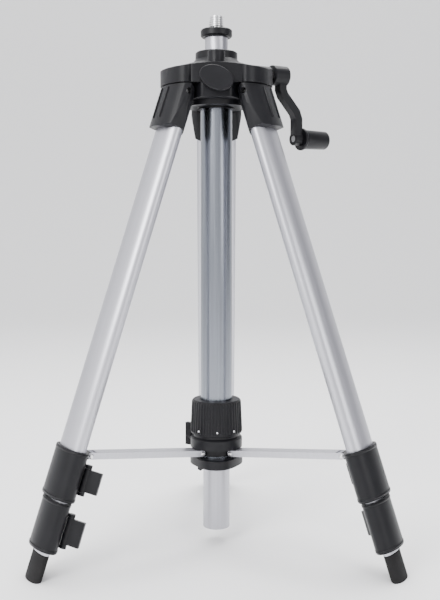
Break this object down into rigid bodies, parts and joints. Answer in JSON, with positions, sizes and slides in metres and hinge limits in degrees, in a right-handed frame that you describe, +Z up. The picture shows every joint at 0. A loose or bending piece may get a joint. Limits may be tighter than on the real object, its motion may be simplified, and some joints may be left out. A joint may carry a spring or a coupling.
{
  "type": "laser level tripod",
  "caption": "Aluminium elevator tripod for a laser level: cranked centre column with a threaded stud, braced folding legs, sliding leg sections with lever clamps.",
  "frame": {"origin": "on the floor, under the centre of the bounding box; the column axis is parallel to Z, a little in front of the origin (towards -Y)", "axes": "+Z up, along the column; +Y towards the rear leg; +X towards the crank side"},
  "size_m": [0.3716, 0.3275, 0.5652],
  "materials": {
    "black_plastic": "satin moulded",
    "black_rubber": "matt",
    "satin_aluminium": "satin anodised",
    "polished_aluminium": "polished",
    "bright_steel": "bright plated",
    "gear_steel": "machined"
  },
  "bodies": {
    "stand": {"shoulder_casting": "black_plastic", "column_bush": "black_plastic", "column_guide_tube": "polished_aluminium", "guide_tube_end_cup": "black_plastic", "column_brake_shoe": "black_rubber"},
    "column": {"column_tube": "satin_aluminium", "column_rack": "gear_steel", "column_neck": "satin_aluminium", "mounting_platform": "black_plastic", "mounting_stud": "bright_steel"},
    "crank": {"crank_shaft": "gear_steel", "pinion_gear": "gear_steel", "crank_arm": "black_plastic", "handle_spindle": "gear_steel"},
    "handle": {"crank_handle": "black_plastic"},
    "column_lock": {"lock_knob": "black_plastic"},
    "carriage": {"spreader_collar": "black_plastic", "spreader_hub": "black_plastic", "brace_hub_rivet_left": "bright_steel", "brace_hub_rivet_right": "bright_steel", "brace_hub_rivet_rear": "bright_steel"},
    "spreader_lock": {"spreader_knob": "black_plastic"},
    "left_brace": {"brace_left": "satin_aluminium"},
    "left_leg": {"knuckle_left": "black_plastic", "pivot_pin_left": "gear_steel", "upper_tube_left": "satin_aluminium", "upper_clamp_left": "black_plastic", "brace_leg_rivet_left": "bright_steel"},
    "left_upper_lock": {"upper_lever_left": "black_plastic"},
    "left_middle_section": {"middle_tube_left": "satin_aluminium", "lower_clamp_left": "black_plastic"},
    "left_lower_lock": {"lower_lever_left": "black_plastic"},
    "left_lower_section": {"lower_tube_left": "satin_aluminium", "foot_left": "black_rubber"},
    "right_brace": {"brace_right": "satin_aluminium"},
    "right_leg": {"knuckle_right": "black_plastic", "pivot_pin_right": "gear_steel", "upper_tube_right": "satin_aluminium", "upper_clamp_right": "black_plastic", "brace_leg_rivet_right": "bright_steel"},
    "right_upper_lock": {"upper_lever_right": "black_plastic"},
    "right_middle_section": {"middle_tube_right": "satin_aluminium", "lower_clamp_right": "black_plastic"},
    "right_lower_lock": {"lower_lever_right": "black_plastic"},
    "right_lower_section": {"lower_tube_right": "satin_aluminium", "foot_right": "black_rubber"},
    "rear_brace": {"brace_rear": "satin_aluminium"},
    "rear_leg": {"knuckle_rear": "black_plastic", "pivot_pin_rear": "gear_steel", "upper_tube_rear": "satin_aluminium", "upper_clamp_rear": "black_plastic", "brace_leg_rivet_rear": "bright_steel"},
    "rear_upper_lock": {"upper_lever_rear": "black_plastic"},
    "rear_middle_section": {"middle_tube_rear": "satin_aluminium", "lower_clamp_rear": "black_plastic"},
    "rear_lower_lock": {"lower_lever_rear": "black_plastic"},
    "rear_lower_section": {"lower_tube_rear": "satin_aluminium", "foot_rear": "black_rubber"}
  },
  "joints": [
    {"name": "column_slide", "type": "slide", "parent": "stand", "child": "column", "axis": [0, 0, 1], "range_m": [0, 0.24]},
    {"name": "crank_turn", "type": "hinge", "parent": "stand", "child": "crank", "pos_m": [0.01, -0.06361, 0.504], "axis": [0.866, 0.5, 0], "range_deg": [0, 2295]},
    {"name": "handle_spin", "type": "hinge", "parent": "crank", "child": "handle", "pos_m": [0.08902, -0.01799, 0.436], "axis": [0.866, 0.5, 0], "continuous": true},
    {"name": "column_lock_turn", "type": "hinge", "parent": "stand", "child": "column_lock", "pos_m": [0, -0.07629, 0.4896], "axis": [0, -1, 0], "range_deg": [0, 170]},
    {"name": "spreader_slide", "type": "slide", "parent": "stand", "child": "carriage", "axis": [0, 0, 1], "range_m": [0, 0.12638]},
    {"name": "spreader_lock_turn", "type": "hinge", "parent": "carriage", "child": "spreader_lock", "pos_m": [-0.02511, -0.03179, 0.1115], "axis": [-0.866, 0.5, 0], "range_deg": [0, 170]},
    {"name": "brace_left_hinge", "type": "hinge", "parent": "carriage", "child": "left_brace", "pos_m": [-0.01819, -0.05679, 0.0976], "axis": [0.5, -0.866, 0], "range_deg": [0, 88.71]},
    {"name": "leg_left_hinge", "type": "hinge", "parent": "left_brace", "child": "left_leg", "pos_m": [-0.1273, -0.11978, 0.1115], "axis": [0.5, -0.866, 0], "range_deg": [-72.21, 0]},
    {"name": "upper_lever_left_turn", "type": "hinge", "parent": "left_leg", "child": "left_upper_lock", "pos_m": [-0.12826, -0.13611, 0.09086], "axis": [0.2737, 0.158, 0.9488], "range_deg": [-70, 0]},
    {"name": "lower_lever_left_turn", "type": "hinge", "parent": "left_middle_section", "child": "left_lower_lock", "pos_m": [-0.1442, -0.14356, 0.04393], "axis": [0.2737, 0.158, 0.9488], "range_deg": [-70, 0]},
    {"name": "middle_left_slide", "type": "slide", "parent": "left_leg", "child": "left_middle_section", "axis": [-0.2737, -0.158, -0.9488], "range_m": [0, 0.28]},
    {"name": "lower_left_slide", "type": "slide", "parent": "left_middle_section", "child": "left_lower_section", "axis": [-0.2737, -0.158, -0.9488], "range_m": [0, 0.27]},
    {"name": "brace_right_hinge", "type": "hinge", "parent": "carriage", "child": "right_brace", "pos_m": [0.01819, -0.05679, 0.0976], "axis": [0.5, 0.866, 0], "range_deg": [0, 88.71]},
    {"name": "leg_right_hinge", "type": "hinge", "parent": "right_brace", "child": "right_leg", "pos_m": [0.1273, -0.11978, 0.1115], "axis": [0.5, 0.866, 0], "range_deg": [-72.21, 0]},
    {"name": "upper_lever_right_turn", "type": "hinge", "parent": "right_leg", "child": "right_upper_lock", "pos_m": [0.14191, -0.11245, 0.09086], "axis": [-0.2737, 0.158, 0.9488], "range_deg": [-70, 0]},
    {"name": "lower_lever_right_turn", "type": "hinge", "parent": "right_middle_section", "child": "right_lower_lock", "pos_m": [0.15634, -0.12253, 0.04393], "axis": [-0.2737, 0.158, 0.9488], "range_deg": [-70, 0]},
    {"name": "middle_right_slide", "type": "slide", "parent": "right_leg", "child": "right_middle_section", "axis": [0.2737, -0.158, -0.9488], "range_m": [0, 0.28]},
    {"name": "lower_right_slide", "type": "slide", "parent": "right_middle_section", "child": "right_lower_section", "axis": [0.2737, -0.158, -0.9488], "range_m": [0, 0.27]},
    {"name": "brace_rear_hinge", "type": "hinge", "parent": "carriage", "child": "rear_brace", "pos_m": [0, -0.02529, 0.0976], "axis": [-1, 0, 0], "range_deg": [0, 88.71]},
    {"name": "leg_rear_hinge", "type": "hinge", "parent": "rear_brace", "child": "rear_leg", "pos_m": [0, 0.10071, 0.1115], "axis": [-1, 0, 0], "range_deg": [-72.21, 0]},
    {"name": "upper_lever_rear_turn", "type": "hinge", "parent": "rear_leg", "child": "rear_upper_lock", "pos_m": [-0.01366, 0.1097, 0.09086], "axis": [0, -0.316, 0.9488], "range_deg": [-70, 0]},
    {"name": "lower_lever_rear_turn", "type": "hinge", "parent": "rear_middle_section", "child": "rear_lower_lock", "pos_m": [-0.01214, 0.12723, 0.04393], "axis": [0, -0.316, 0.9488], "range_deg": [-70, 0]},
    {"name": "middle_rear_slide", "type": "slide", "parent": "rear_leg", "child": "rear_middle_section", "axis": [0, 0.316, -0.9488], "range_m": [0, 0.28]},
    {"name": "lower_rear_slide", "type": "slide", "parent": "rear_middle_section", "child": "rear_lower_section", "axis": [0, 0.316, -0.9488], "range_m": [0, 0.27]}
  ],
  "couplings": [
    {"joint": "crank_turn", "follows": "column_slide", "rad_per_m": 166.67},
    {"joint": "brace_left_hinge", "follows": "spreader_slide", "rad_per_m": 12.183},
    {"joint": "leg_left_hinge", "follows": "spreader_slide", "rad_per_m": -9.9038},
    {"joint": "brace_right_hinge", "follows": "spreader_slide", "rad_per_m": 12.183},
    {"joint": "leg_right_hinge", "follows": "spreader_slide", "rad_per_m": -9.9038},
    {"joint": "brace_rear_hinge", "follows": "spreader_slide", "rad_per_m": 12.183},
    {"joint": "leg_rear_hinge", "follows": "spreader_slide", "rad_per_m": -9.9038}
  ]
}
